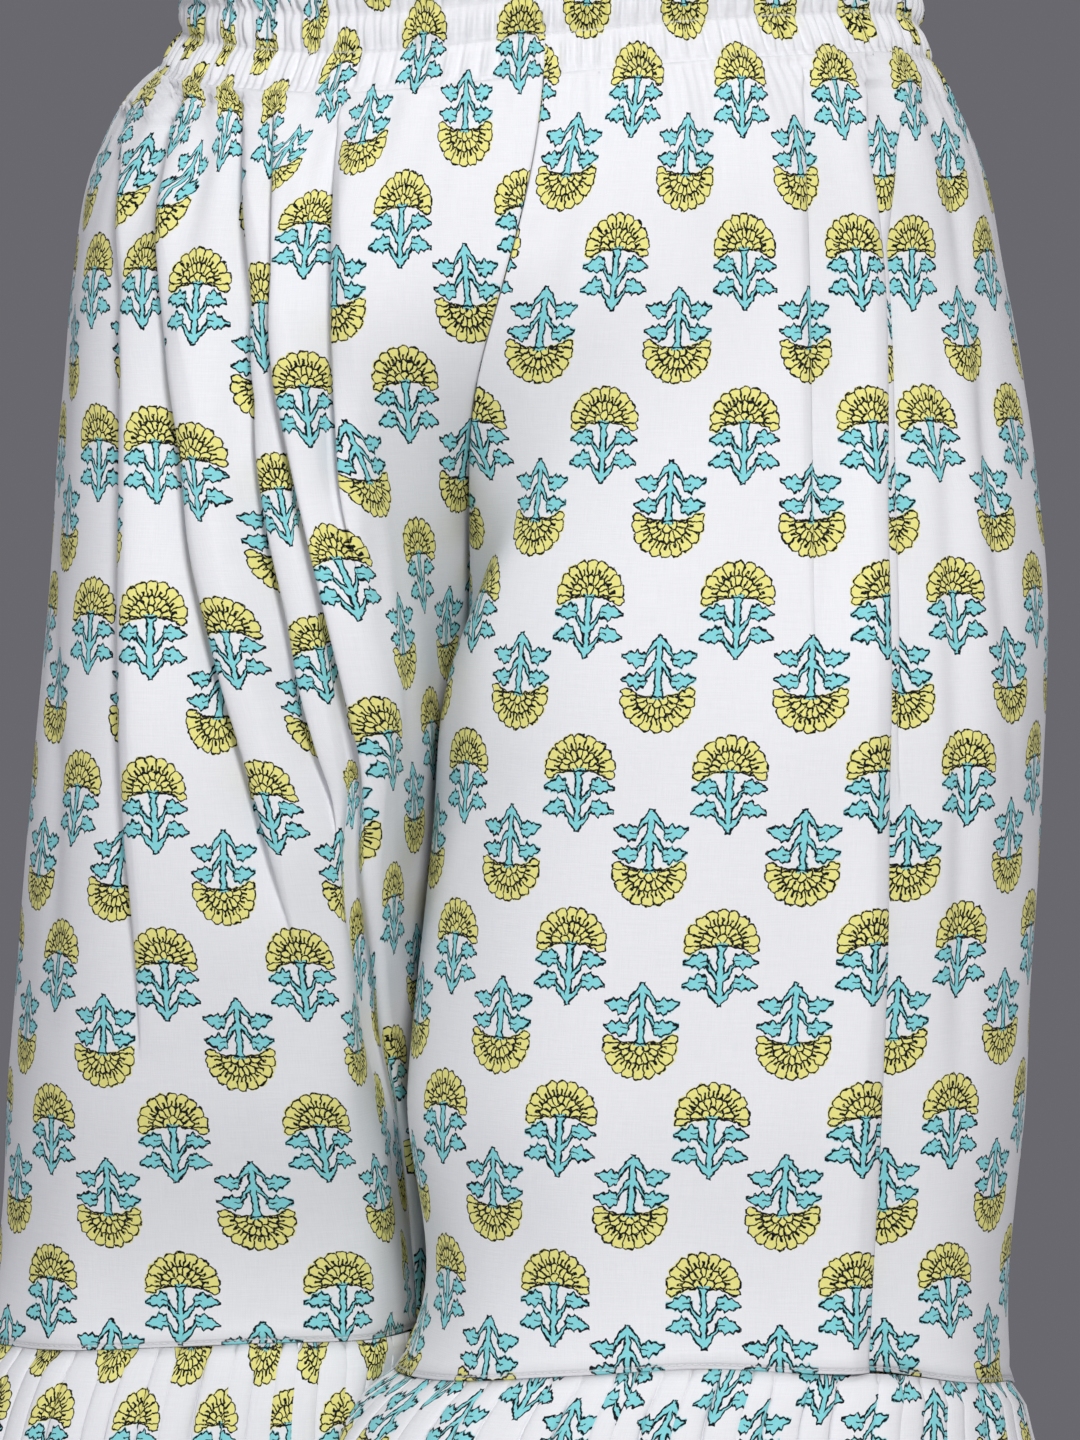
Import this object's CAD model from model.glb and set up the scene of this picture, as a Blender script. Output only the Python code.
import bpy
import math
import numpy as np
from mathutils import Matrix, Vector


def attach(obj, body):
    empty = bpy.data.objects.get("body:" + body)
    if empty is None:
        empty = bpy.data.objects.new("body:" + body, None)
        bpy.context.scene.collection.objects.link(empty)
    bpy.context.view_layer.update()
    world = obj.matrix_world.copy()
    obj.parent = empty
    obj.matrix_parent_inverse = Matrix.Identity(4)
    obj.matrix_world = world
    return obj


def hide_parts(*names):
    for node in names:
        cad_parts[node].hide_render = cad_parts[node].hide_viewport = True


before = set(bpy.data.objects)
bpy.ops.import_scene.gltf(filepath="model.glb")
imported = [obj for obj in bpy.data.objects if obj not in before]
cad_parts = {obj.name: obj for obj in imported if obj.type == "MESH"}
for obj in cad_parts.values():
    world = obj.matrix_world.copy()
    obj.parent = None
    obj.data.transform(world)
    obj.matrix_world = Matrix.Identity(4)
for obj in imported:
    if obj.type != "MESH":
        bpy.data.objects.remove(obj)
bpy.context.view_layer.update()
print("frame loaded")

# The form of the garment, as in the part's source. Metres; the front faces -Y and the wearer's left is +X.
form = {
    "casingLow": -0.025, "casingHigh": 0.025, "seamZ": -0.507, "flounceLength": 0.420,
    "crotchTop": -0.090, "crotchZ": -0.275, "hipSquareness": 2.25, "legSquareness": 2.6,
    "partingGap": 0.0008, "pressed": 0.006,
    # z: reach to the wearer's right, left, front and back
    "hip": {
        0.025: (0.1395, 0.139, 0.106, 0.104), -0.020: (0.1415, 0.142, 0.107, 0.105),
        -0.036: (0.157, 0.151, 0.117, 0.114), -0.060: (0.170, 0.162, 0.127, 0.124),
        -0.100: (0.178, 0.171, 0.135, 0.135), -0.150: (0.182, 0.180, 0.142, 0.143),
        -0.215: (0.185, 0.185, 0.147, 0.143), -0.290: (0.190, 0.183, 0.150, 0.139),
    },
    # z: centre x and y, reach sideways and in depth
    "leftLeg": {
        -0.060: (0.068, -0.002, 0.102, 0.132), -0.150: (0.072, -0.004, 0.108, 0.142),
        -0.215: (0.068, -0.006, 0.119, 0.144), -0.290: (0.067, -0.012, 0.117, 0.140),
        -0.400: (0.061, -0.034, 0.117, 0.121), -0.507: (0.057, -0.050, 0.115, 0.105),
        -0.530: (0.049, -0.051, 0.128, 0.112), -0.565: (0.054, -0.053, 0.139, 0.121),
        -0.660: (0.061, -0.058, 0.148, 0.134), -0.800: (0.069, -0.064, 0.158, 0.147),
        -0.927: (0.075, -0.068, 0.166, 0.156),
    },
    "rightLeg": {
        -0.060: (-0.088, 0.002, 0.084, 0.130), -0.150: (-0.092, 0.002, 0.092, 0.138),
        -0.215: (-0.095, 0.003, 0.092, 0.138), -0.290: (-0.101, 0.006, 0.093, 0.134),
        -0.400: (-0.106, 0.022, 0.098, 0.118), -0.507: (-0.113, 0.035, 0.105, 0.100),
        -0.530: (-0.117, 0.036, 0.110, 0.107), -0.565: (-0.120, 0.039, 0.119, 0.116),
        -0.660: (-0.128, 0.045, 0.132, 0.129), -0.800: (-0.136, 0.053, 0.144, 0.143),
        -0.927: (-0.143, 0.060, 0.152, 0.152),
    },
    # z: where the plane between the legs crosses y = 0, and its turn in degrees
    "parting": {
        0.025: (0.000, 0.0), -0.040: (-0.002, 0.5), -0.100: (-0.006, 4.0), -0.150: (-0.011, 8.5),
        -0.275: (-0.025, 14.5), -0.400: (-0.034, 20.0), -0.507: (-0.035, 25.0), -0.600: (-0.035, 26.0),
        -0.927: (-0.035, 26.0),
    },
    # turn round a leg: lift of the right and the left one
    "waistLift": {
        0.0: (-0.0050, -0.0050), 0.45: (-0.0110, 0.0020), 0.75: (-0.0060, 0.0045),
        1.0: (0.0010, 0.0000), 2.0: (0.0040, 0.0040),
    },
    "seamLift": {
        0.0: (0.0080, 0.0030), 0.20: (0.0098, 0.0075), 0.35: (0.0112, 0.0138), 0.50: (0.0110, 0.0172),
        0.60: (0.0092, 0.0155), 0.69: (0.0070, 0.0137), 0.78: (0.0050, 0.0074), 0.90: (0.0040, 0.0010),
        1.0: (0.0045, -0.0060), 1.5: (0.0010, -0.0050), 2.0: (0.0060, 0.0050),
    },
    "waistLiftFades": 0.140, "seamLiftFades": 0.160,
}


def follow(table, column, place):
    # a smooth curve (cubic, with the rows' own slopes) through one column of a table
    knots = np.array(sorted(table))
    values = np.array([table[k][column] for k in sorted(table)])
    slopes = np.gradient(values, knots)
    place = np.clip(place, knots[0], knots[-1])
    i = np.clip(np.searchsorted(knots, place) - 1, 0, len(knots) - 2)
    step = knots[i + 1] - knots[i]
    t = (place - knots[i]) / step
    start = (2 * t**3 - 3 * t**2 + 1) * values[i] + (t**3 - 2 * t**2 + t) * step * slopes[i]
    return start + (3 * t**2 - 2 * t**3) * values[i + 1] + (t**3 - t**2) * step * slopes[i + 1]


def smoothStep(low, high, value):
    t = np.clip((value - low) / (high - low), 0, 1)
    return t * t * (3 - 2 * t)


def rounded(wide, deep, across, along, squareness):
    # distance from the centre to a squared ellipse, in the direction (across, along)
    return (np.abs(across / wide) ** squareness + np.abs(along / deep) ** squareness) ** (-1 / squareness)


def planeAt(z):
    turn = np.radians(follow(form["parting"], 1, z))
    return follow(form["parting"], 0, z), np.cos(turn), -np.sin(turn)


def fromPlane(side, x, y, z):
    x0, nx, ny = planeAt(z)
    return side * ((x - x0) * nx + y * ny)


def pressed(side, x, y, z, gap, softness):
    # moves points off the plane between the legs: kept = gap + softness * ln(1 + e^((d - gap) / softness))
    _, nx, ny = planeAt(z)
    distance = fromPlane(side, x, y, z)
    push = side * (gap + softness * np.logaddexp(0, (distance - gap) / softness) - distance)
    return x + push * nx, y + push * ny


def onOwnSide(side, x, y, z, gap):
    _, nx, ny = planeAt(z)
    short = np.maximum(gap - fromPlane(side, x, y, z), 0) * side
    return x + short * nx, y + short * ny


def hipOutline(side, turn, z):
    # half of a squared ellipse round both hips, from the centre front (turn 0) to the centre back (turn 2)
    angle = turn * math.pi / 2
    across, along = np.sin(angle), np.cos(angle)
    wide = follow(form["hip"], 1 if side > 0 else 0, z)
    deep = np.where(along > 0, follow(form["hip"], 2, z), follow(form["hip"], 3, z))
    reach = rounded(wide, deep, across, along, form["hipSquareness"])
    y = -reach * along
    x0, nx, ny = planeAt(z)
    return side * reach * across + (x0 - y * ny / nx) * (1 - np.abs(across)), y


def legOutline(side, turn, z):
    # a squared ellipse round one leg, from its inner point (turn 0) by the front and side back to it (turn 2)
    table = form["leftLeg"] if side > 0 else form["rightLeg"]
    across, along = -np.cos(turn * math.pi), -np.sin(turn * math.pi)
    reach = rounded(follow(table, 2, z), follow(table, 3, z), across, along, form["legSquareness"])
    x = follow(table, 0, z) + side * reach * across
    y = follow(table, 1, z) + reach * along
    return pressed(side, x, y, z, form["partingGap"], form["pressed"])


def plainLeg(side, turn, z):
    # the hip's half outline, blended into the leg's over the depth of the crotch
    hipX, hipY = hipOutline(side, turn, z)
    legX, legY = legOutline(side, turn, z)
    share = smoothStep(form["crotchTop"], form["crotchZ"], z)
    x, y = hipX + (legX - hipX) * share, hipY + (legY - hipY) * share
    sewn = 1 - smoothStep(form["crotchZ"], form["crotchZ"] - 0.03, z)
    edge = np.clip(fromPlane(side, x, y, z) - 0.00015, 0, 2 * form["partingGap"] * share)
    pull = -side * edge * sewn * np.exp(-((np.minimum(turn, 2 - turn) / 0.12) ** 2))
    _, nx, ny = planeAt(z)
    return x + pull * nx, y + pull * ny


def liftOf(side, turn, z):
    column = 1 if side > 0 else 0
    atWaist = smoothStep(form["casingLow"] - form["waistLiftFades"], form["casingLow"], z)
    atSeam = smoothStep(form["seamZ"] + form["seamLiftFades"], form["seamZ"], z)
    return follow(form["waistLift"], column, turn) * atWaist + follow(form["seamLift"], column, turn) * atSeam


def alongRows(wanted, places, values):
    # linear interpolation along each row of a grid
    return np.array([np.interp(w, p, v) for w, p, v in zip(wanted, places, values)])


def runLength(x, y):
    # length along each row, from its first point
    steps = np.hypot(np.diff(x, axis=1), np.diff(y, axis=1))
    return np.concatenate([np.zeros((len(x), 1)), np.cumsum(steps, axis=1)], axis=1)


def levelNormal(x, y, sign):
    tx, ty = np.gradient(x, axis=1), np.gradient(y, axis=1)
    length = np.hypot(tx, ty) + 1e-12
    return ty / length * sign, -tx / length * sign


def uneven(t, seed):
    # a smooth irregular wave between about -1 and 1; t goes 0 to 1 once round, and the wave closes on itself
    a = 2 * math.pi * t
    return (
        0.45 * np.sin(3 * a + 1.7 * seed) + 0.35 * np.sin(7 * a + 2.9 * seed)
        + 0.30 * np.sin(13 * a + 0.6 * seed) + 0.22 * np.sin(29 * a + 4.1 * seed)
    )


def meshFromGrid(name, x, y, z, cloth, sewing, flip, closed=False):
    # rows and columns of points joined by quads, with the cut cloth's own coordinates as its UV map
    rows, columns = x.shape
    vertex = np.arange(rows * columns).reshape(rows, columns)
    loop = np.arange(rows * cloth[0].shape[1]).reshape(rows, -1)
    if closed:
        vertex = np.column_stack([vertex, vertex[:, 0]])

    def corners(grid):
        quads = np.stack([grid[:-1, :-1], grid[1:, :-1], grid[1:, 1:], grid[:-1, 1:]], axis=-1).reshape(-1, 4)
        return quads[:, ::-1] if flip else quads

    faces, places = corners(vertex), corners(loop)
    mesh = bpy.data.meshes.new(name)
    mesh.vertices.add(rows * columns)
    mesh.vertices.foreach_set("co", np.stack([x, y, z], axis=-1).ravel())
    mesh.loops.add(faces.size)
    mesh.loops.foreach_set("vertex_index", faces.ravel())
    mesh.polygons.add(len(faces))
    mesh.polygons.foreach_set("loop_start", np.arange(len(faces)) * 4)
    mesh.update(calc_edges=True)
    for label, pair in (("cloth", cloth), ("sewing", sewing)):
        layer = mesh.uv_layers.new(name=label)
        flat = np.stack([pair[0].ravel()[places.ravel()], pair[1].ravel()[places.ravel()]], axis=-1)
        layer.data.foreach_set("uv", flat.ravel())
    mesh.validate()
    mesh.shade_smooth()
    piece = bpy.data.objects.new(name, mesh)
    bpy.context.scene.collection.objects.link(piece)
    wall = piece.modifiers.new("wall", "SOLIDIFY")
    wall.thickness = 0.0007
    wall.offset = -1
    return piece


def declare(piece, node):
    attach(piece, "root")
    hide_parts(node)


# Leg panels
# A lap is a fold that hides cloth: its line down the leg as z: (x, hidden width, step). The cloth nearer the
# crotch lies on top. A crease is a soft trough (or a ridge, where its depth is negative), as z: (x, depth).
legs = {
    "rows": 132, "columnsPerMetre": 600, "lapColumns": 15, "lapEase": 0.026, "roll": 0.0020, "stepScale": 1.25,
    "laps": {
        ("right", "front"): [
            {-0.030: (-0.0760, 0.000, 0.0006), -0.060: (-0.0785, 0.003, 0.0022), -0.100: (-0.0785, 0.006, 0.0032),
             -0.153: (-0.0766, 0.007, 0.0036), -0.182: (-0.0750, 0.005, 0.0028), -0.200: (-0.0715, 0.002, 0.0014),
             -0.215: (-0.0670, 0.000, 0.0003), -0.252: (-0.0590, 0, 0), -0.278: (-0.0540, 0, 0), -0.318: (-0.0510, 0, 0),
             -0.347: (-0.0490, 0, 0), -0.383: (-0.0470, 0, 0), -0.440: (-0.0430, 0, 0), -0.507: (-0.0400, 0, 0)},
            {-0.030: (-0.0990, 0.000, 0.0006), -0.055: (-0.1005, 0.004, 0.0024), -0.085: (-0.1009, 0.006, 0.0030),
             -0.139: (-0.0990, 0.008, 0.0036), -0.160: (-0.0948, 0.009, 0.0040), -0.198: (-0.0862, 0.010, 0.0044),
             -0.223: (-0.0805, 0.010, 0.0046), -0.252: (-0.0735, 0.010, 0.0048), -0.278: (-0.0675, 0.009, 0.0048),
             -0.318: (-0.0645, 0.008, 0.0046), -0.347: (-0.0615, 0.007, 0.0042), -0.383: (-0.0587, 0.006, 0.0036),
             -0.440: (-0.0520, 0.006, 0.0026), -0.507: (-0.0480, 0.006, 0.0014)},
            {-0.030: (-0.1120, 0.000, 0.0006), -0.055: (-0.1150, 0.004, 0.0024), -0.085: (-0.1129, 0.006, 0.0030),
             -0.130: (-0.1094, 0.008, 0.0038), -0.165: (-0.1080, 0.008, 0.0040), -0.192: (-0.1028, 0.0085, 0.0044),
             -0.225: (-0.0943, 0.0085, 0.0044), -0.252: (-0.0890, 0.008, 0.0042), -0.272: (-0.0830, 0.006, 0.0036),
             -0.292: (-0.0755, 0.003, 0.0020), -0.307: (-0.0735, 0.000, 0.0003), -0.347: (-0.0700, 0, 0),
             -0.383: (-0.0675, 0, 0), -0.440: (-0.0620, 0, 0), -0.507: (-0.0580, 0, 0)},
            {-0.040: (-0.1400, 0.000, 0.0006), -0.070: (-0.1450, 0.004, 0.0022), -0.098: (-0.1446, 0.006, 0.0028),
             -0.133: (-0.1420, 0.010, 0.0036), -0.172: (-0.1362, 0.011, 0.0046), -0.199: (-0.1326, 0.011, 0.0048),
             -0.229: (-0.1248, 0.011, 0.0048), -0.251: (-0.1183, 0.010, 0.0046), -0.277: (-0.1097, 0.008, 0.0040),
             -0.303: (-0.1025, 0.005, 0.0032), -0.318: (-0.0985, 0.0022, 0.0024), -0.334: (-0.0940, 0.0006, 0.0012),
             -0.365: (-0.0880, 0.000, 0.0003)},
            {-0.040: (-0.1570, 0.000, 0.0006), -0.075: (-0.1620, 0.004, 0.0022), -0.120: (-0.1615, 0.005, 0.0028),
             -0.192: (-0.1607, 0.007, 0.0036), -0.248: (-0.1585, 0.007, 0.0036), -0.303: (-0.1546, 0.005, 0.0030),
             -0.342: (-0.1510, 0.003, 0.0018), -0.385: (-0.1490, 0.000, 0.0004)},
        ],
        ("left", "front"): [
            {-0.030: (0.0930, 0.000, 0.0004), -0.060: (0.0935, 0.002, 0.0014), -0.110: (0.0942, 0.003, 0.0018),
             -0.170: (0.0947, 0.003, 0.0018), -0.205: (0.0947, 0.0015, 0.0012), -0.240: (0.0947, 0.000, 0.0003)},
            {-0.036: (0.1160, 0.000, 0.0006), -0.060: (0.1170, 0.003, 0.0018), -0.075: (0.1195, 0.004, 0.0026),
             -0.090: (0.1213, 0.005, 0.0030), -0.200: (0.1222, 0.006, 0.0034), -0.330: (0.1220, 0.006, 0.0036),
             -0.390: (0.1202, 0.007, 0.0036), -0.445: (0.1184, 0.007, 0.0034), -0.507: (0.1155, 0.006, 0.0026)},
            {-0.040: (0.1325, 0.000, 0.0006), -0.075: (0.1290, 0.003, 0.0018), -0.100: (0.1275, 0.004, 0.0024),
             -0.185: (0.1285, 0.004, 0.0026), -0.250: (0.1285, 0.003, 0.0020), -0.285: (0.1290, 0.000, 0.0004),
             -0.507: (0.1235, 0, 0)},
        ],
        ("right", "back"): [
            {-0.060: (-0.050, 0.000, 0.0006), -0.130: (-0.056, 0.006, 0.0024), -0.240: (-0.066, 0.006, 0.0026),
             -0.330: (-0.078, 0.000, 0.0006)},
            {-0.050: (-0.110, 0.000, 0.0006), -0.120: (-0.114, 0.008, 0.0028), -0.260: (-0.122, 0.008, 0.0032),
             -0.420: (-0.134, 0.003, 0.0016), -0.500: (-0.138, 0.000, 0.0006)},
        ],
        ("left", "back"): [
            {-0.055: (0.060, 0.000, 0.0006), -0.120: (0.062, 0.006, 0.0024), -0.250: (0.064, 0.007, 0.0028),
             -0.360: (0.062, 0.000, 0.0006)},
            {-0.050: (0.118, 0.000, 0.0006), -0.130: (0.124, 0.007, 0.0026), -0.280: (0.126, 0.007, 0.0030),
             -0.440: (0.114, 0.002, 0.0014), -0.500: (0.108, 0.000, 0.0006)},
        ],
    },
    "creases": {
        ("right", "front"): [
            (0.008, {-0.028: (-0.138, 0.0030), -0.060: (-0.150, 0.0042), -0.110: (-0.160, 0.0010)}),
            (0.006, {-0.028: (-0.126, 0.0024), -0.070: (-0.134, 0.0030), -0.130: (-0.142, 0.0004)}),
            (0.005, {-0.028: (-0.115, 0.0026), -0.090: (-0.118, 0.0034), -0.170: (-0.117, 0.0006)}),
            (0.006, {-0.028: (-0.086, 0.0022), -0.080: (-0.092, 0.0034), -0.120: (-0.090, 0.0010)}),
            (0.005, {-0.028: (-0.074, 0.0024), -0.070: (-0.080, 0.0032), -0.110: (-0.080, 0.0008)}),
            (0.006, {-0.028: (-0.058, 0.0020), -0.060: (-0.060, 0.0018), -0.085: (-0.060, 0.0004)}),
            (0.007, {-0.028: (-0.038, 0.0014), -0.050: (-0.039, 0.0008)}),
            (0.009, {-0.110: (-0.094, -0.0022), -0.180: (-0.090, -0.0030), -0.250: (-0.078, -0.0004)}),
            (0.007, {-0.180: (-0.062, -0.0008), -0.230: (-0.056, -0.0022), -0.300: (-0.052, -0.0006)}),
            (0.009, {-0.190: (-0.184, 0.0004), -0.280: (-0.183, 0.0022), -0.380: (-0.184, 0.0006)}),
            (0.012, {-0.360: (-0.120, 0.0003), -0.430: (-0.112, 0.0016), -0.505: (-0.108, 0.0018)}),
            (0.012, {-0.400: (-0.160, 0.0003), -0.505: (-0.164, 0.0020)}),
        ],
        ("left", "front"): [
            (0.006, {-0.028: (0.061, 0.0020), -0.050: (0.061, 0.0014), -0.075: (0.060, 0.0003)}),
            (0.007, {-0.028: (0.088, 0.0018), -0.060: (0.094, 0.0016), -0.110: (0.096, 0.0003)}),
            (0.006, {-0.028: (0.118, 0.0024), -0.055: (0.128, 0.0020), -0.090: (0.140, 0.0006)}),
            (0.006, {-0.040: (0.140, 0.0014), -0.070: (0.150, 0.0028), -0.120: (0.157, 0.0008)}),
            (0.007, {-0.100: (0.146, 0.0004), -0.180: (0.150, 0.0028), -0.320: (0.151, 0.0030), -0.420: (0.150, 0.0004)}),
            (0.007, {-0.100: (0.161, 0.0004), -0.160: (0.163, 0.0030), -0.240: (0.168, 0.0016), -0.300: (0.170, 0)}),
            (0.008, {-0.028: (0.020, 0.0014), -0.055: (0.019, 0.0006)}),
            (0.006, {-0.060: (0.006, 0.0003), -0.100: (0.003, 0.0014), -0.150: (0.000, 0.0003)}),
            (0.016, {-0.380: (0.040, 0.0002), -0.440: (0.036, 0.0010), -0.505: (0.034, 0.0012)}),
            (0.014, {-0.420: (0.085, 0.0002), -0.505: (0.082, 0.0014)}),
        ],
        ("right", "back"): [
            (0.007, {-0.028: (-0.130, 0.0026), -0.070: (-0.142, 0.0034), -0.130: (-0.152, 0.0006)}),
            (0.006, {-0.028: (-0.084, 0.0024), -0.080: (-0.088, 0.0030), -0.150: (-0.090, 0.0006)}),
            (0.006, {-0.028: (-0.030, 0.0020), -0.070: (-0.032, 0.0016), -0.100: (-0.034, 0.0004)}),
            (0.010, {-0.180: (-0.160, 0.0006), -0.300: (-0.168, 0.0028), -0.460: (-0.178, 0.0010)}),
            (0.010, {-0.220: (-0.096, -0.0006), -0.320: (-0.100, -0.0024), -0.420: (-0.106, -0.0006)}),
        ],
        ("left", "back"): [
            (0.007, {-0.028: (0.128, 0.0026), -0.060: (0.142, 0.0034), -0.120: (0.150, 0.0006)}),
            (0.006, {-0.028: (0.086, 0.0024), -0.090: (0.092, 0.0030), -0.160: (0.094, 0.0006)}),
            (0.006, {-0.028: (0.032, 0.0020), -0.070: (0.034, 0.0016), -0.110: (0.036, 0.0004)}),
            (0.010, {-0.200: (0.156, 0.0006), -0.300: (0.158, 0.0028), -0.440: (0.150, 0.0010)}),
            (0.010, {-0.240: (0.090, -0.0006), -0.330: (0.088, -0.0024), -0.430: (0.084, -0.0006)}),
        ],
    },
    # grain lines, from the crotch outwards: one column of the print runs down each. Every line is its number of
    # column pairs from the first, its x by height, and how far its row stands above the level by height
    "grain": {
        ("left", "front"): [
            (0, {-0.030: 0.069, -0.100: 0.0700, -0.156: 0.0698, -0.220: 0.067, -0.464: 0.0552}, {0: 0}),
        ],
        ("right", "front"): [
            (0, {-0.028: -0.0480, -0.079: -0.0525, -0.147: -0.0507, -0.206: -0.0464, -0.270: -0.0430, -0.360: -0.0400,
                 -0.480: -0.0370}, {0: 0.022}),
            (1, {-0.030: -0.0790, -0.060: -0.0850, -0.087: -0.0888, -0.139: -0.0870, -0.198: -0.0800, -0.230: -0.0755,
                 -0.300: -0.0700}, {-0.030: 0.011, -0.087: 0.0174, -0.250: 0.022}),
            (2, {-0.030: -0.0990, -0.090: -0.1060, -0.140: -0.1032, -0.183: -0.0958, -0.239: -0.0802, -0.300: -0.0730},
             {-0.060: -0.008, -0.180: -0.016, -0.240: -0.010, -0.290: -0.004}),
            (3, {-0.030: -0.1180, -0.080: -0.1290, -0.120: -0.1310, -0.172: -0.1296, -0.233: -0.1154, -0.292: -0.1006,
                 -0.354: -0.0889, -0.415: -0.0836, -0.475: -0.0755}, {-0.100: -0.0055, -0.230: -0.0044, -0.290: 0}),
            (4, {-0.030: -0.1300, -0.080: -0.1500, -0.120: -0.1520, -0.161: -0.1480, -0.229: -0.1460, -0.295: -0.1420,
                 -0.358: -0.1385, -0.420: -0.1370, -0.480: -0.1360}, {0: 0}),
        ],
        ("left", "back"): [(0, {-0.025: 0.058, -0.100: 0.074, -0.464: 0.052}, {0: 0})],
        ("right", "back"): [(0, {-0.025: -0.060, -0.100: -0.084, -0.464: -0.112}, {0: 0})],
    },
    "pairWidth": 0.0545, "lineNear": 0.003,
    # where a strip of cloth narrows away between two laps: its grain line, its lap, and over which heights
    "merging": {("right", "front"): ((1, 0, (-0.180, -0.208)), (2, 2, (-0.262, -0.298)))},
    # the height of one flower's middle, and how far apart the rows lie against those of the block
    "print": {("left", "front"): (-0.2202, 1.0), ("right", "front"): (-0.2290, 1.017), ("left", "back"): (-0.2000, 1.0),
              ("right", "back"): (-0.2450, 1.0)},
    # how much more cloth there is than the panel is wide, by height
    "fullness": {-0.025: 1.46, -0.055: 1.31, -0.090: 1.18, -0.120: 1.12, -0.156: 1.075, -0.220: 1.015, -0.300: 1.00},
    "gatherPitch": 0.0039, "gatherDepth": 0.0009, "gatherFades": 0.012,
}


def legPanel(side, half):
    key = ("left" if side > 0 else "right", half)
    sign = side * (1 if half == "front" else -1)
    z = form["casingLow"] - 0.0003 - (form["casingLow"] - form["seamZ"] - 0.0003) * (
        0.35 * np.linspace(0, 1, legs["rows"]) + 0.65 * np.linspace(0, 1, legs["rows"]) ** 1.8
    )
    zc = z[:, None]
    fine = np.linspace(0.0004, 0.9996, 500) if half == "front" else np.linspace(1.9996, 1.0004, 500)
    x, y = plainLeg(side, fine[None, :], zc)
    run = runLength(x, y)
    total = run[:, -1:]
    nx, ny = levelNormal(x, y, sign)
    a, b = 50, 492

    def lineRun(table):
        rows = {k: value if isinstance(value, tuple) else (value,) for k, value in table.items()}
        return alongRows(follow(rows, 0, zc) * side, np.maximum.accumulate(x[:, a:b] * side, axis=1), run[:, a:b])

    def tableAt(table, column):
        return np.maximum(follow(table, column, zc), 0) * ((zc >= min(table)) & (zc <= max(table)))

    # stations: every lap keeps its own strip of columns, so that its edge stays crisp
    laps = []
    before = np.zeros_like(total)
    for table in legs["laps"][key]:
        hidden, step = tableAt(table, 1), tableAt(table, 2) * legs["stepScale"]
        halfZone = 0.0014 + hidden / 2
        middle = np.maximum(lineRun(table) - hidden / 2, before + halfZone + 0.001)
        laps.append((middle, halfZone, hidden, step))
        before = middle + halfZone
    starts = [np.zeros_like(total)] + [m + h for m, h, _, _ in laps]
    ends = [m - h for m, h, _, _ in laps] + [total]
    placed, lapPlace = [], []
    for k, (start, end) in enumerate(zip(starts, ends)):
        count = max(6, int(round(float(np.median(end - start)) * legs["columnsPerMetre"])))
        share = np.linspace(0, 1, count, endpoint=False)[None, :]
        placed.append(start + (end - start) * share)
        lapPlace.append([np.where(np.arange(len(laps)) < k, 1.0, -1.0)[:, None] * np.ones((1, count))])
        if k < len(laps):
            middle, halfZone, hidden, _ = laps[k]
            p = np.linspace(-1, 1, legs["lapColumns"], endpoint=False)[None, :]
            placed.append(middle + 0.0014 * p - hidden / 2 * np.cos(1.5 * math.pi * (p + 1)))
            own = np.where(np.arange(len(laps)) < k, 1.0, -1.0)[:, None] * np.ones((1, p.shape[1]))
            own[k] = p[0]
            lapPlace.append([own])
    placed.append(total)
    lapPlace.append([np.ones((len(laps), 1))])
    s = np.concatenate(placed, axis=1)
    lapPlace = np.concatenate([q[0] for q in lapPlace], axis=1)

    depth = np.zeros_like(s)
    for k, (middle, halfZone, hidden, step) in enumerate(laps):
        p = lapPlace[k][None, :]
        past = np.maximum(s - middle - halfZone, 0) * (p >= 1)
        ahead = np.maximum(middle - halfZone - s, 0) * (p <= -1)
        depth -= 2 * step * smoothStep(-1, 1, p) * np.exp(-past / legs["lapEase"])
        depth += legs["roll"] * step / 0.003 * np.exp(-((ahead / 0.011) ** 2)) * (1 - smoothStep(-1, 0, p))
    turn = alongRows(s, run, np.broadcast_to(fine, run.shape))
    for width, table in legs["creases"][key]:
        knots = sorted(table)
        reach = smoothStep(knots[0] - 0.012, knots[0] + 0.006, zc) * smoothStep(knots[-1] + 0.012, knots[-1] - 0.006, zc)
        if knots[-1] > -0.03:
            reach = smoothStep(knots[0] - 0.012, knots[0] + 0.006, zc)
        amount = np.interp(z, knots, [table[k][1] for k in knots])[:, None] * reach
        depth -= amount * np.exp(-(((s - lineRun(table)) / width) ** 2))

    # gathers under the casing: fine ones that die out within a centimetre or two, and larger ones among them
    drop = form["casingLow"] - zc
    ring = turn / 4 + (0.5 if side < 0 else 0)
    count = 0.25 * 0.77 / legs["gatherPitch"]
    phase = 2 * math.pi * count * turn + 2.2 * uneven(ring, 1.0)
    depth += legs["gatherDepth"] * np.sin(phase) * np.exp(-drop / legs["gatherFades"])
    larger = np.sin(phase / 3.1 + 1.4 * uneven(ring, 2.0)) * (0.6 + 0.5 * uneven(ring, 5.0))
    depth += 0.0013 * larger * np.exp(-drop / 0.030) * smoothStep(-0.002, 0.010, drop)
    # the soft unevenness of worn cloth
    depth += 0.0007 * np.sin(2 * math.pi * (turn * 5.3 + 0.4 * np.sin(zc * 14 + side))) * np.cos(zc * 17 + 3 * turn)
    # the panel's lower edge stands a little proud where the flounce is sewn in under it
    depth += 0.0005 * np.exp(-((zc - form["seamZ"]) / 0.0022) ** 2) - 0.0007 * np.exp(-((zc - form["seamZ"] - 0.006) / 0.003) ** 2)
    edges = smoothStep(0, 0.007, s) * smoothStep(0, 0.007, total - s)
    depth *= edges * smoothStep(0.0, 0.004, drop) * 0.85 + 0.15 * edges

    px = alongRows(s, run, x) + alongRows(s, run, nx) * depth
    py = alongRows(s, run, y) + alongRows(s, run, ny) * depth
    px, py = onOwnSide(side, px, py, zc, 0.00025)
    pz = zc + liftOf(side, turn, zc)

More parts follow.
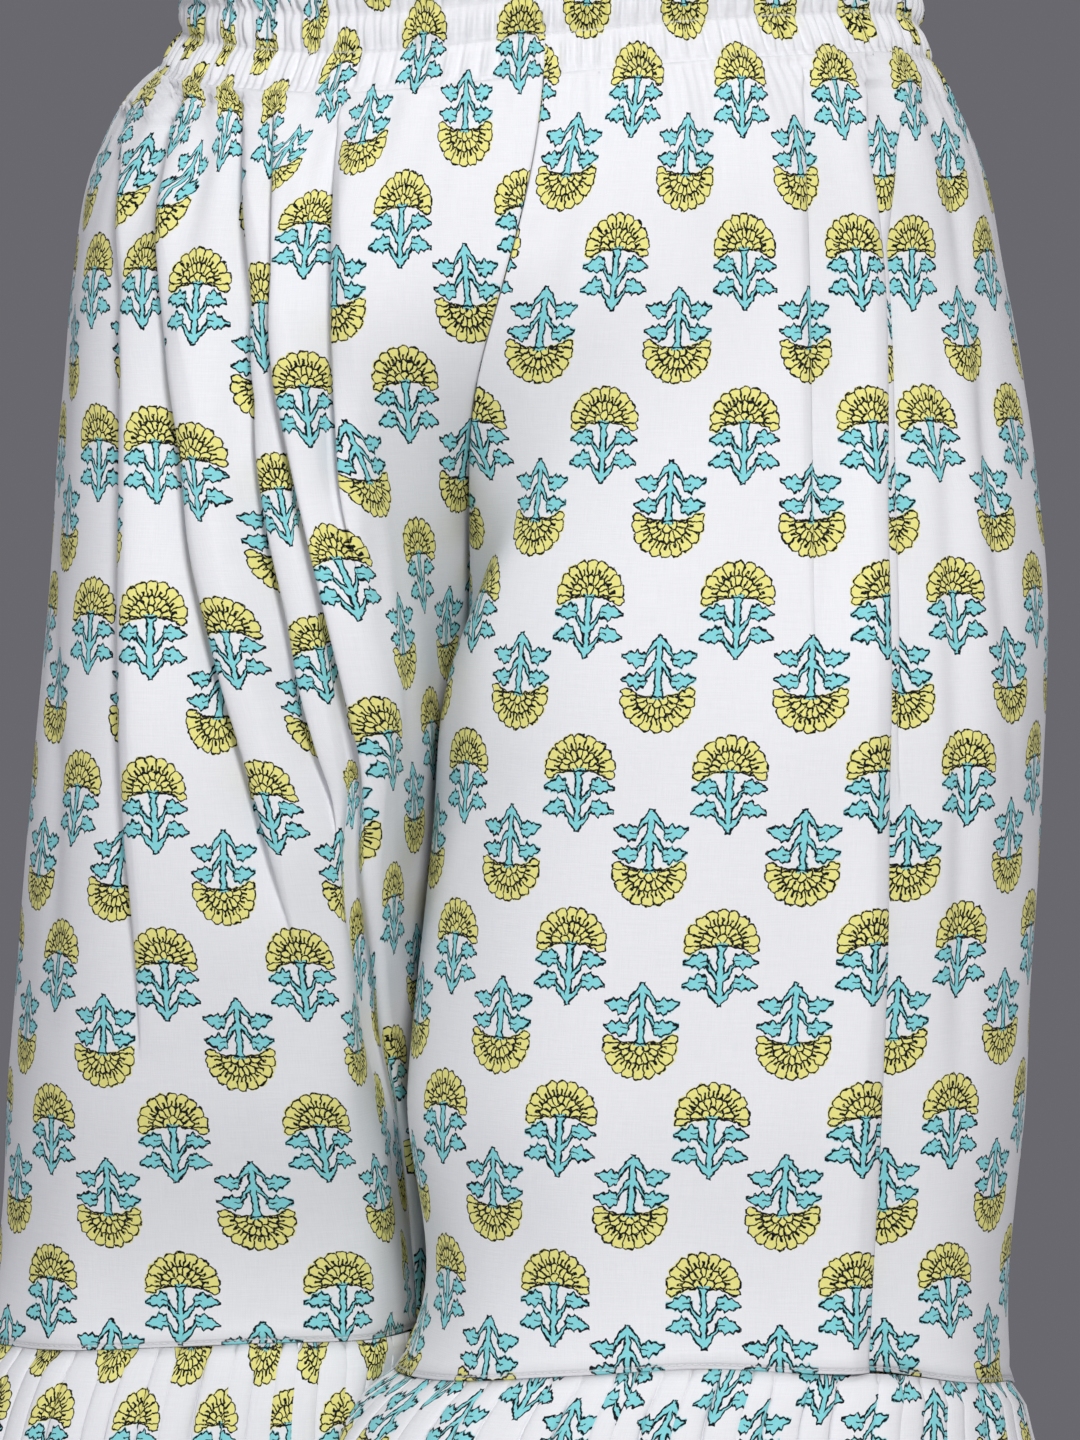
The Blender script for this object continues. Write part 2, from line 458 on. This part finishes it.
    # the cloth's own coordinates. Between two grain lines the print is spread over what shows at its own fullness,
    # and the cloth left over is hidden in the laps; where there is no lap it crowds the print, as gathers do
    length = runLength(px, py)
    shown = np.maximum.accumulate(s, axis=1)
    fullness = follow({k: (value,) for k, value in legs["fullness"].items()}, 0, zc)
    hold = [smoothStep(0.0006, 0.0020, step) * smoothStep(0.0004, 0.0060, hidden) for _, _, hidden, step in laps]
    under = [np.clip((q + 1 / 3) / (4 / 3), 0, 1)[None, :] for q in lapPlace]

    def spread(lines, hold):
        # across = the line's own place + what shows * fullness + the hidden cloth of every lap passed
        places = [lineRun(table) for _, table, _ in lines]
        for k in range(1, len(places)):
            places[k] = np.maximum(places[k], places[k - 1] + 0.003)
        heights = [follow({k: (v,) for k, v in offs.items()}, 0, zc) if len(offs) > 1 else offs[0] for _, _, offs in lines]
        numbers = [n * legs["pairWidth"] for n, _, _ in lines]
        across = numbers[0] + (np.minimum(shown, places[0]) - places[0]) * fullness
        across = across + np.maximum(shown - places[-1], 0) * fullness
        up = heights[0] + 0 * shown
        nearby = legs["lineNear"]
        for (middle, _, hidden, _), weight, below in zip(laps, hold, under):
            outside = smoothStep(0, nearby, middle - places[-1])
            inside = smoothStep(0, nearby, places[0] - middle)
            across = across + 2 * hidden * weight * (outside * below - inside * (1 - below))
        for low, high, first, last, rise in zip(places, places[1:], numbers, numbers[1:], np.diff(
                np.array([np.broadcast_to(h, zc.shape) for h in heights]), axis=0)):
            gap = last - first
            between = [
                w * smoothStep(0, nearby, m - low) * smoothStep(0, nearby, high - m)
                for (m, _, _, _), w in zip(laps, hold)
            ]
            most = np.clip(sum(between), 0, 1)
            taken = np.maximum(gap - fullness * (high - low), 0) * most
            way = (np.clip(shown, low, high) - low) / (high - low)
            passed = sum(w * q for w, q in zip(between, under)) / (sum(between) + 1e-9)
            across = across + (gap - taken) * way + taken * passed
            up = up + rise * (most * passed + (1 - most) * way)
        return across, up

    lines = legs["grain"][key]
    across, up = spread(lines, hold)
    for number, idle, heights in legs["merging"].get(key, ()):
        lines = [line for line in lines if line[0] != number]
        hold = [0 * weight if k == idle else weight for k, weight in enumerate(hold)]
        nextAcross, nextUp = spread(lines, hold)
        merged = smoothStep(*heights, zc)
        across, up = across + (nextAcross - across) * merged, up + (nextUp - up) * merged
    middleHeight, stretch = legs["print"][key]
    u = across * side
    v = (pz - middleHeight - up) / stretch
    sewing = (length, pz - liftOf(side, turn, np.full_like(zc, form["seamZ"])) - form["seamZ"] - 0.0012)
    name = ("leftLeg" if side > 0 else "rightLeg") + half.capitalize()
    piece = meshFromGrid(name, px, py, pz, (u, v), sewing, flip=sign < 0)
    cutWidth = (u.max(axis=1) - u.min(axis=1))
    area = float(np.sum((cutWidth[1:] + cutWidth[:-1]) / 2 * (z[:-1] - z[1:])))
    node = f"{half}_panel_" + ("left" if side > 0 else "right")
    declare(piece, node)
    return piece, {"turn": turn[0], "u": u[0], "v": v[0], "z": pz[0]}


# Waist casing
casing = {
    "columns": 1040, "rows": 37, "stitchRows": (-0.0243, -0.0108, 0.0027, 0.0162), "groove": 0.0007, "puff": 0.0007,
    "gathers": 215, "gatherDepth": 0.0012, "below": 0.0016,
}


def waistCasing(tops):
    # one ring; a column's place is ring = 0 at the centre front, 0.25 at the left side, 0.5 at the centre back
    z = np.linspace(form["casingHigh"], form["casingLow"] - casing["below"], casing["rows"])[:, None]
    ring = np.arange(casing["columns"]) / casing["columns"]
    leftHalf = ring < 0.5
    turn = np.where(leftHalf, ring * 4, (1 - ring) * 4)[None, :]
    xl, yl = hipOutline(1, turn, z)
    xr, yr = hipOutline(-1, turn, z)
    x, y = np.where(leftHalf, xl, xr), np.where(leftHalf, yl, yr)
    tx, ty = np.roll(x, -1, 1) - np.roll(x, 1, 1), np.roll(y, -1, 1) - np.roll(y, 1, 1)
    size = np.hypot(tx, ty)
    nx, ny = ty / size, -tx / size
    nearest = np.min(np.abs(np.array([z - r for r in casing["stitchRows"]])), axis=0)
    inChannel = 1 - np.exp(-((nearest / 0.0028) ** 2))
    channel = np.floor((z - casing["stitchRows"][0]) / 0.0135)
    lean = uneven(ring[None, :], 3.0) * 1.6 + 0.8 * np.sin(2.1 * channel) * uneven(ring[None, :], 6.0)
    phase = 2 * math.pi * casing["gathers"] * ring[None, :] + 1.9 * uneven(ring[None, :], 1.0) + lean * z / 0.0135
    size = 0.62 + 0.38 * uneven(ring[None, :] + 0.13 * channel, 7.0)
    depth = casing["gatherDepth"] * np.sin(phase) * size * (0.45 + 0.55 * inChannel)
    depth += 0.0009 * np.sin(phase / 2 + 2 * uneven(ring[None, :], 9.0) + channel) * inChannel
    depth += casing["puff"] * inChannel - casing["groove"] * (1 - inChannel)
    depth -= 0.0016 * smoothStep(form["casingLow"] + 0.0004, form["casingLow"] - casing["below"], z)
    px, py = x + nx * depth, y + ny * depth
    pz = z + np.where(leftHalf, liftOf(1, turn, z), liftOf(-1, turn, z))

    # the print runs on from the panels, whose tops are folded over to make the casing
    ringAll = np.append(ring, 1.0)
    u, vTop, zTop = np.zeros(len(ringAll)), np.zeros(len(ringAll)), np.zeros(len(ringAll))
    quarters = (("left", "front", 0.0, 0.25), ("left", "back", 0.25, 0.5), ("right", "back", 0.5, 0.75), ("right", "front", 0.75, 1.001))
    for sideName, half, low, high in quarters:
        inside = (ringAll >= low) & (ringAll < high)
        here = ringAll[inside] * 4 if sideName == "left" else (1 - ringAll[inside]) * 4
        top = tops[(sideName, half)]
        order = np.argsort(top["turn"])
        for whole, part in ((u, "u"), (vTop, "v"), (zTop, "z")):
            whole[inside] = np.interp(here, top["turn"][order], top[part][order])
    uGrid = np.broadcast_to(u, (casing["rows"], len(u)))
    zAll = np.column_stack([pz, pz[:, 0]])
    vGrid = vTop[None, :] + zAll - zTop[None, :]
    runAll = np.column_stack([runLength(px, py), runLength(px, py)[:, -1] + 0.0007])
    nearestSigned = np.broadcast_to(nearest, (casing["rows"], len(u)))
    piece = meshFromGrid("elasticCasing", px, py, pz, (uGrid, vGrid), (runAll, nearestSigned), flip=False, closed=True)
    piece.modifiers["wall"].thickness = 0.0022
    declare(piece, "waist_casing")
    return piece


# Flounces
flounce = {
    "columns": 440, "rows": 50, "gathersPerHalf": 34, "depth": 0.0033, "lean": 0.0030, "flutesPerHalf": 11, "fluteDepth": 0.0105,
    "flatWidth": 0.60, "tuck": 0.0006, "hemTurn": 0.010, "printLevels": (0.030, 0.330),
}


def legFlounce(side, half):
    # gathers like waves with broad crests and narrow valleys: out by d cos(p), along by e sin(p)
    n = flounce["columns"]
    first = 0 if half == "front" else 1
    turn = np.linspace(first + 0.0005, first + 0.9995, n)[None, :]
    t = np.linspace(0, 1, flounce["rows"])
    drop = form["flounceLength"] * (0.45 * t + 0.55 * t**2)
    drop = drop[:, None]
    z = form["seamZ"] - drop
    x, y = legOutline(side, turn, z)
    nx, ny = levelNormal(x, y, side)
    tx, ty = -ny * side, nx * side
    ring = turn / 2
    seed = 2.0 + side
    phase = 2 * math.pi * flounce["gathersPerHalf"] * turn + 3.0 * uneven(ring, seed) + 6 * drop * uneven(ring, seed + 3)
    size = 0.72 + 0.34 * uneven(ring, seed + 5)
    near = smoothStep(-0.001, 0.007, drop) * (1 - 0.62 * smoothStep(0.03, 0.24, drop))
    pinned = smoothStep(0, 0.035, turn - first) * smoothStep(0, 0.035, first + 1 - turn)
    fine = flounce["depth"] * size * near
    flutePhase = 2 * math.pi * flounce["flutesPerHalf"] * turn + 1.6 * uneven(ring, seed + 1) + 2 * drop
    flute = flounce["fluteDepth"] * smoothStep(0.0, 0.40, drop) * (0.8 + 0.25 * uneven(ring, seed + 2))
    crest = np.abs(np.cos(phase / 2)) ** 0.5 * 2 - 1
    d = (fine * crest + flute * np.cos(flutePhase)) * (0.25 + 0.75 * pinned)
    e = (flounce["lean"] / flounce["depth"] * fine * np.sin(phase) + 0.7 * flute * np.sin(flutePhase)) * pinned
    d = d - flounce["tuck"] * np.exp(-drop / 0.0025) + 0.0016 * smoothStep(0.0, 0.010, drop) * (1 - smoothStep(0.02, 0.06, drop))
    px, py = x + nx * d + tx * e, y + ny * d + ty * e
    px, py = pressed(side, px, py, z, form["partingGap"], 0.004 * smoothStep(0.0, 0.04, drop) + 1e-5)
    pz = z - 0.0003 + liftOf(side, turn, np.full_like(z, form["seamZ"]))
    length = runLength(px, py)
    shares = []
    for level in flounce["printLevels"]:
        row = length[np.argmin(np.abs(drop[:, 0] - level))]
        shares.append(row[None, :] / row[-1])
    share = shares[0] + (shares[1] - shares[0]) * smoothStep(*flounce["printLevels"], drop)
    u = (share - 0.5) * flounce["flatWidth"] * side * (1 if half == "front" else -1)
    v = pz + 0.233 + 0.012 * side
    hemLine = form["seamZ"] - form["flounceLength"] + flounce["hemTurn"]
    sewing = (length, np.broadcast_to(z - hemLine, length.shape))
    name = ("left" if side > 0 else "right") + "Flounce" + half.capitalize()
    piece = meshFromGrid(name, px, py, pz, (u, v), sewing, flip=side < 0)
    node = f"flounce_{half}_" + ("left" if side > 0 else "right")
    declare(piece, node)
    return piece


class Wire:
    # a number socket that takes part in arithmetic; each step adds one Math node
    def __init__(self, graph, socket):
        self.graph = graph
        self.socket = socket

    def __add__(self, other):
        return self.graph.math("ADD", self, other)

    def __sub__(self, other):
        return self.graph.math("SUBTRACT", self, other)

    def __rsub__(self, other):
        return self.graph.math("SUBTRACT", other, self)

    def __mul__(self, other):
        return self.graph.math("MULTIPLY", self, other)

    def __truediv__(self, other):
        return self.graph.math("DIVIDE", self, other)

    def __pow__(self, other):
        return self.graph.math("POWER", self, other)

    def __neg__(self):
        return self.graph.math("MULTIPLY", self, -1.0)

    def __abs__(self):
        return self.graph.math("ABSOLUTE", self)

    __radd__ = __add__
    __rmul__ = __mul__


class Graph:
    def __init__(self, material):
        material.use_nodes = True
        self.tree = material.node_tree
        self.shader = self.tree.nodes["Principled BSDF"]

    def node(self, kind, settings=None, sockets=None, out=0):
        made = self.tree.nodes.new(kind)
        for key, value in (settings or {}).items():
            setattr(made, key, value)
        for key, value in (sockets or {}).items():
            self.feed(made.inputs[key], value)
        return Wire(self, made.outputs[out])

    def feed(self, socket, value):
        if isinstance(value, Wire):
            self.tree.links.new(value.socket, socket)
        else:
            socket.default_value = value

    def math(self, operation, *values, clamp=False):
        return self.node("ShaderNodeMath", {"operation": operation, "use_clamp": clamp}, dict(enumerate(values)))

    def least(self, *values):
        result = values[0]
        for value in values[1:]:
            result = self.math("MINIMUM", result, value)
        return result

    def most(self, *values):
        result = values[0]
        for value in values[1:]:
            result = self.math("MAXIMUM", result, value)
        return result

    def length(self, x, y):
        return self.math("SQRT", x * x + y * y)

    def inside(self, distance, soft=0.13):
        # 1 where a distance is below 0, softened over a short way
        return self.math("MULTIPLY_ADD", distance, -1 / soft, 0.5, clamp=True)

    def both(self, *masks):
        result = masks[0]
        for mask in masks[1:]:
            result = result * mask
        return result

    def blend(self, mask, under, over):
        made = self.tree.nodes.new("ShaderNodeMix")
        made.data_type = "RGBA"
        self.feed(made.inputs[0], mask)
        self.feed(made.inputs[6], under)
        self.feed(made.inputs[7], over)
        return Wire(self, made.outputs[2])


# The block print: an old flower sprig, upright in one column and turned in the next. Millimetres.
sprig = {
    "columnPitch": 27.25, "rowPitch": 61.5, "petalStep": 0.352, "fanTop": 12.8, "fanSide": 0.6, "line": 0.34, "turnedRise": 4.4,
    "yellow": (0.80, 0.755, 0.235, 1), "blue": (0.225, 0.655, 0.70, 1), "ink": (0.004, 0.006, 0.010, 1),
    "leaves": ((4.5, -5.6, 9.0, 0.05, 6.9), (4.7, -13.1, 9.0, -0.05, 7.1)),
    "stalks": ((0.2, -12.2, 4.8, -6.2, 1.20, 0.42), (0.2, -19.6, 5.0, -13.7, 1.30, 0.42)),
}


def sprigMasks(g, u, v):
    # u and v are millimetres on the cut cloth; returns masks for the yellow, the blue and the ink
    wobble = g.node("ShaderNodeTexNoise", {"noise_dimensions": "2D"}, {
        "Vector": g.node("ShaderNodeCombineXYZ", sockets={0: u, 1: v}), "Scale": 0.45, "Detail": 1.0}, out="Color")
    parts = g.node("ShaderNodeSeparateXYZ", sockets={0: wobble})
    shiftX = (parts - 0.5) * 1.5
    shiftY = (Wire(g, parts.socket.node.outputs[1]) - 0.5) * 1.5
    column = g.math("FLOOR", u / sprig["columnPitch"] + 0.5)
    odd = g.math("FLOORED_MODULO", column, 2.0)
    along = v + odd * (sprig["rowPitch"] / 2 - sprig["turnedRise"])
    flip = 1 - odd * 2
    x = (u - column * sprig["columnPitch"]) * flip + shiftX
    y = (g.math("FLOORED_MODULO", along + sprig["rowPitch"] / 2, sprig["rowPitch"]) - sprig["rowPitch"] / 2) * flip
    y = y - 4.25 + shiftY
    ax = abs(x)

    # the flower: a fan of petals in two rows about the calyx
    r = g.length(ax, y)
    angle = g.math("ARCTAN2", ax, y)
    petal = angle / sprig["petalStep"]
    f = abs(petal - g.math("ROUND", petal))
    side = g.math("SINE", angle)
    edge = sprig["fanTop"] + side * side * sprig["fanSide"] - (f * 2) ** 3.0 * 0.95
    under = g.node("ShaderNodeMapRange", {"interpolation_type": "SMOOTHSTEP"}, {
        "Value": r, "From Min": 5.0, "From Max": 12.0, "To Min": 1.64, "To Max": 1.84})
    rounding = (r - 10.2) * (r - 10.2) * 0.011 * g.inside(8.5 - r)
    fan = g.most(r - edge, (angle - under + rounding) * r)
    line = sprig["line"]
    between = (0.5 - f) * sprig["petalStep"] * r - line * 0.95
    outerLines = g.both(g.inside(between), g.inside(7.6 - r))
    tooth = abs(f - 0.06) * sprig["petalStep"] * r - line * 0.8
    teeth = g.both(g.inside(tooth), g.inside(7.4 - r), g.inside(r - 9.9))
    ring = g.inside(abs(r - 7.5 - g.math("COSINE", f * 6.28) * 0.30) - line * 1.25)
    second = angle / 0.34
    f2 = abs(second - g.math("ROUND", second))
    innerLines = g.both(g.inside((0.5 - f2) * 0.34 * r - line * 1.0), g.inside(r - 7.4), g.inside(3.9 - r))
    core = angle / 1.03
    f3 = abs(core - g.math("ROUND", core))
    coreEdge = g.inside(abs(r - 4.2 + f3 * f3 * 4.4) - line * 1.2)
    coreLines = g.both(g.inside((0.5 - f3) * 1.03 * r - line * 0.9), g.inside(r - 3.4), g.inside(0.8 - r))
    inFan = g.inside(fan)
    fanInk = g.most(outerLines, teeth, ring, innerLines, coreEdge, coreLines) * inFan
    fanInk = g.most(fanInk, g.inside(abs(fan) - line))
    yellow = g.inside(fan - 0.35 + x * 0.03, 0.5)

    # the plant: stem, calyx, two pairs of stalks and toothed leaves; the halves mirror each other
    foot = g.math("MULTIPLY_ADD", y, 0.16, 3.9)
    stem = g.most(ax - g.least(g.most(foot, 0.75), 1.15), y + 2.0, -21.6 - y)
    calyx = g.most(ax - 1.9 - y * 0.42, y - 1.2, -3.4 - y)
    plant = g.least(stem, calyx)
    veins = None
    for (ax0, ay0, bx0, by0, ra, rb), (bx, by, size, tilt, fat) in zip(sprig["stalks"], sprig["leaves"]):
        dx, dy = bx0 - ax0, by0 - ay0
        qx, qy = ax - ax0, y - ay0
        h = g.math("ADD", qx * (dx / (dx * dx + dy * dy)), qy * (dy / (dx * dx + dy * dy)), clamp=True)
        bow = h * (1 - h) * 1.6
        stalk = g.length(qx - h * dx + bow * -0.5, qy - h * dy + bow) - ra - h * (rb - ra)
        lx, ly = ax - bx, y - by
        a = lx * math.cos(tilt) + ly * math.sin(tilt)
        b = ly * math.cos(tilt) - lx * math.sin(tilt) + a * a * 0.016 - 0.25
        t = g.math("MULTIPLY", a, 1 / size, clamp=True)
        teethWave = g.math("PINGPONG", a + 0.9, 1.35)
        profile = (t ** 0.5) * ((1 - t) ** 1.2) * fat * (0.74 + teethWave * 0.36) + 0.14
        blade = g.most(abs(b) - profile, -a, a - size) * 0.8
        plant = g.least(plant, stalk, blade)
        vein = g.inside(g.most(abs(b + 0.1) - 0.22, abs(a - 1.3) - 1.6))
        veins = vein if veins is None else g.most(veins, vein)
    plantInk = g.most(g.inside(abs(plant) - line), veins)
    blue = g.inside(plant - 0.30 + (x - y * 0.5 - 6) * 0.02, 0.5)
    aboveBase = g.inside(y - 0.9)
    plantInk = plantInk * aboveBase
    blue = blue * aboveBase
    return yellow, blue, g.most(fanInk, plantInk)


cotton = {
    "white": (0.842, 0.847, 0.872, 1), "slub": (0.775, 0.782, 0.812, 1), "roughness": 0.85, "sheen": 0.05,
    "stitchPitch": 2.7, "stitchGap": 0.36,
}


def cottonPrint():
    material = bpy.data.materials.new("printedCotton")
    g = Graph(material)
    cloth = g.node("ShaderNodeUVMap", {"uv_map": "cloth"})
    split = g.node("ShaderNodeSeparateXYZ", sockets={0: cloth})
    u = split * 1000.0
    v = Wire(g, split.socket.node.outputs[1]) * 1000.0
    yellow, blue, ink = sprigMasks(g, u, v)

    def threads(across, down, detail):
        place = g.node("ShaderNodeCombineXYZ", sockets={0: u * across, 1: v * down})
        return g.node("ShaderNodeTexNoise", {"noise_dimensions": "2D"}, {"Vector": place, "Scale": 1.0, "Detail": detail, "Roughness": 0.6})

    warp, weft = threads(2.4, 0.10, 2.0), threads(0.08, 2.6, 2.0)
    weave = warp * 0.5 + weft * 0.5
    mottle = threads(0.6, 0.6, 3.0)
    slub = g.math("MULTIPLY_ADD", weave, 2.2, -0.75, clamp=True)
    ground = g.blend(slub, cotton["slub"], cotton["white"])
    fade = 0.86 + mottle * 0.22
    colour = g.blend(g.math("MULTIPLY", yellow, fade, clamp=True), ground, sprig["yellow"])
    colour = g.blend(g.math("MULTIPLY", blue, fade, clamp=True), colour, sprig["blue"])
    broken = g.math("MULTIPLY_ADD", threads(1.1, 1.1, 1.0), 5.0, -0.75, clamp=True)
    colour = g.blend(ink * broken, colour, sprig["ink"])

    # rows of machine stitches: short raised threads in a groove
    sewing = g.node("ShaderNodeUVMap", {"uv_map": "sewing"})
    sewn = g.node("ShaderNodeSeparateXYZ", sockets={0: sewing})
    along = sewn * (1000.0 / cotton["stitchPitch"])
    away = abs(Wire(g, sewn.socket.node.outputs[1]) * 1000.0)
    stitch = g.both(g.inside(abs(g.math("FRACT", along) - 0.5) - (0.5 - cotton["stitchGap"] / 2), 0.12), g.inside(away - 0.22, 0.16))
    groove = g.inside(away - 0.5, 0.9)
    colour = g.blend(groove * 0.18, colour, (0.50, 0.51, 0.55, 1))
    colour = g.blend(stitch * 0.65, colour, (0.86, 0.865, 0.885, 1))
    g.feed(g.shader.inputs["Base Color"], colour)

    height = weave * 0.9 + mottle * 0.5 + stitch * 2.2 - groove * 1.6
    bump = g.node("ShaderNodeBump", sockets={"Strength": 0.35, "Distance": 0.00035, "Height": height})
    g.feed(g.shader.inputs["Normal"], bump)
    g.shader.inputs["Roughness"].default_value = cotton["roughness"]
    g.shader.inputs["Sheen Weight"].default_value = cotton["sheen"]
    g.shader.inputs["Sheen Roughness"].default_value = 0.5
    g.shader.inputs["Specular IOR Level"].default_value = 0.15
    return material


pieces = []
tops = {}
for sideName, side in (("left", 1), ("right", -1)):
    for half in ("front", "back"):
        piece, tops[(sideName, half)] = legPanel(side, half)
        pieces.append(piece)
        pieces.append(legFlounce(side, half))
print("legs and flounces made")
pieces.append(waistCasing(tops))
print("casing made")
fabric = cottonPrint()
for piece in pieces:
    piece.data.materials.append(fabric)
print("print and cloth finish made")

# Camera, as near as the photograph allows to level with the hips
camera = {"aim": (-0.003, 0.0, -0.2695), "distance": 2.4, "rise": 4.0, "scale": 2650.0}


def addCamera():
    rise = math.radians(camera["rise"])
    data = bpy.data.cameras.new("view")
    view = bpy.data.objects.new("view", data)
    bpy.context.scene.collection.objects.link(view)
    view.location = Vector(camera["aim"]) - Vector((0, math.cos(rise), -math.sin(rise))) * camera["distance"]
    view.rotation_euler = (math.pi / 2 - rise, 0, 0)
    data.sensor_fit = "VERTICAL"
    data.sensor_height = 36
    data.lens = 36 * camera["scale"] * camera["distance"] / 1440
    data.clip_end = 50
    bpy.context.scene.camera = view


# Studio: a pale round floor under a plain grey surround, open on every side
studio = {
    "lamps": {
        "key": ((0.45, -2.70, 1.00), 0.65, 58.0, (1.0, 0.995, 0.985)),
        "sideFill": ((-2.1, -1.3, 0.2), 1.2, 11.0, (0.98, 0.99, 1.0)),
        "rimRight": ((2.2, -0.3, 0.5), 0.8, 3.0, (1.0, 1.0, 1.0)),
        "overhead": ((0.0, -0.6, 2.1), 1.4, 12.0, (1.0, 1.0, 1.0)),
        "behind": ((-0.5, 2.60, 1.30), 1.2, 26.0, (1.0, 1.0, 1.0)),
    },
    "lampAim": (0.0, 0.0, -0.35), "surround": (0.142, 0.139, 0.157, 1.0),
    "floor": (0.62, 0.62, 0.63, 1.0), "floorRadius": 2.1, "floorCorners": 96, "floorBelow": 0.03,
}


def addStudio():
    for name, (place, size, power, tint) in studio["lamps"].items():
        data = bpy.data.lights.new(name, "AREA")
        data.shape = "DISK"
        data.size, data.energy, data.color = size, power, tint
        lamp = bpy.data.objects.new(name, data)
        lamp.location = place
        lamp.rotation_euler = (Vector(studio["lampAim"]) - Vector(place)).to_track_quat("-Z", "Y").to_euler()
        bpy.context.scene.collection.objects.link(lamp)
    world = bpy.data.worlds.new("studio")
    world.use_nodes = True
    world.node_tree.nodes["Background"].inputs[0].default_value = studio["surround"]
    bpy.context.scene.world = world
    floorZ = form["seamZ"] - form["flounceLength"] - studio["floorBelow"]
    angles = np.linspace(0, 2 * math.pi, studio["floorCorners"], endpoint=False)
    rim = [(studio["floorRadius"] * math.cos(a), studio["floorRadius"] * math.sin(a), floorZ) for a in angles]
    mesh = bpy.data.meshes.new("floor")
    mesh.from_pydata(rim, [], [tuple(range(len(rim)))])
    material = bpy.data.materials.new("floor")
    material.use_nodes = True
    material.node_tree.nodes["Principled BSDF"].inputs["Base Color"].default_value = studio["floor"]
    material.node_tree.nodes["Principled BSDF"].inputs["Roughness"].default_value = 0.9
    mesh.materials.append(material)
    floor = bpy.data.objects.new("floor", mesh)
    bpy.context.scene.collection.objects.link(floor)


addCamera()
addStudio()
bpy.context.scene.view_settings.view_transform = "Standard"
print("camera and studio made")
